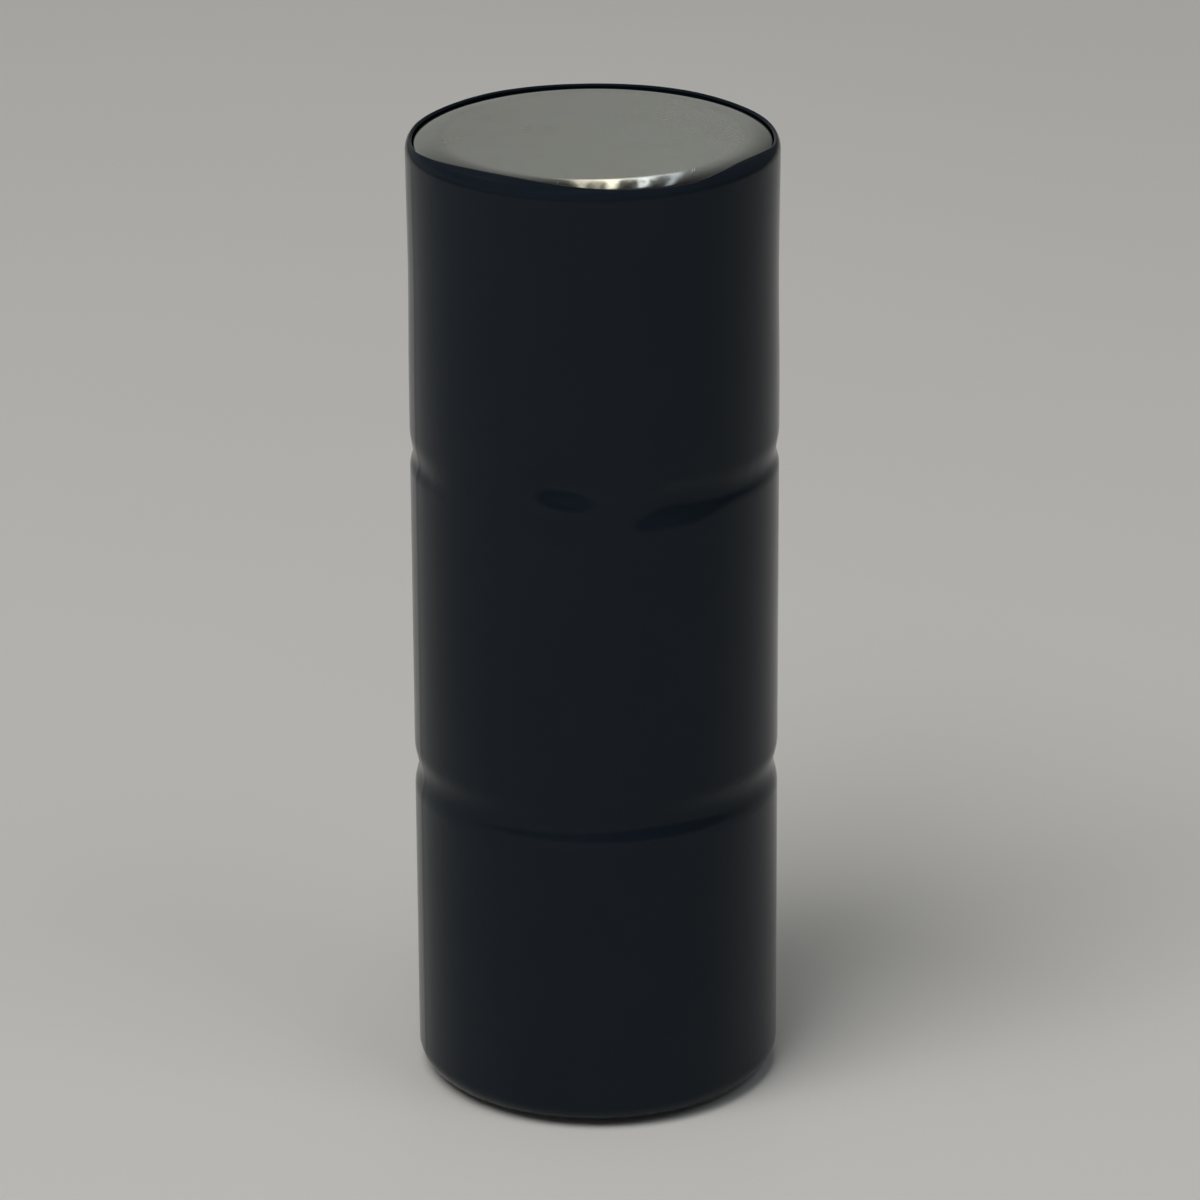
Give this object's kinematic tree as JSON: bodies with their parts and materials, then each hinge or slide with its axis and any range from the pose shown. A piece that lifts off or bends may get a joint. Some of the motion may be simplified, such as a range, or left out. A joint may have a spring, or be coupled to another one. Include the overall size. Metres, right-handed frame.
{
  "type": "battery stick",
  "caption": "Short round sealed cells stacked end to end and joined in series inside a glossy black shrink sleeve, with a bare metal can end as the top terminal.",
  "frame": {"origin": "centre of the lowest cap's outer face, which the stick stands on", "axes": "+Z along the stick, from the negative cap at the bottom to the bare positive can end at the top"},
  "size_m": [0.0118, 0.0118, 0.032],
  "materials": {
    "nickel_plated_steel": "satin nickel plate",
    "nickel_plated_cap": "satin nickel plate",
    "bare_steel": "rolled strip",
    "nickel_strip": "rolled strip",
    "seal_plastic": "moulded",
    "cathode_mix": "pressed powder",
    "separator_felt": "non-woven felt",
    "fibre_board": "matt",
    "lithium": "dull rolled metal",
    "sleeve_film": "glossy shrink film"
  },
  "bodies": {
    "root": {"bottom_cell_can": "nickel_plated_steel", "bottom_cell_cap": "nickel_plated_cap", "bottom_cell_gasket": "seal_plastic", "bottom_cell_support_ring": "bare_steel", "bottom_cell_seal_washer": "seal_plastic", "bottom_cell_lower_cathode_ring": "cathode_mix", "bottom_cell_upper_cathode_ring": "cathode_mix", "bottom_cell_separator": "separator_felt", "bottom_cell_base_insulator": "fibre_board", "bottom_cell_lithium_anode": "lithium", "bottom_cell_anode_collector": "bare_steel", "bottom_cell_insulating_ring": "fibre_board", "middle_cell_can": "nickel_plated_steel", "middle_cell_cap": "nickel_plated_cap", "middle_cell_gasket": "seal_plastic", "middle_cell_support_ring": "bare_steel", "middle_cell_seal_washer": "seal_plastic", "middle_cell_lower_cathode_ring": "cathode_mix", "middle_cell_upper_cathode_ring": "cathode_mix", "middle_cell_separator": "separator_felt", "middle_cell_base_insulator": "fibre_board", "middle_cell_lithium_anode": "lithium", "middle_cell_anode_collector": "bare_steel", "middle_cell_insulating_ring": "fibre_board", "top_cell_can": "nickel_plated_steel", "top_cell_cap": "nickel_plated_cap", "top_cell_gasket": "seal_plastic", "top_cell_support_ring": "bare_steel", "top_cell_seal_washer": "seal_plastic", "top_cell_lower_cathode_ring": "cathode_mix", "top_cell_upper_cathode_ring": "cathode_mix", "top_cell_separator": "separator_felt", "top_cell_base_insulator": "fibre_board", "top_cell_lithium_anode": "lithium", "top_cell_anode_collector": "bare_steel", "top_cell_insulating_ring": "fibre_board", "lower_nickel_link": "nickel_strip", "upper_nickel_link": "nickel_strip", "shrink_sleeve": "sleeve_film"}
  },
  "joints": []
}
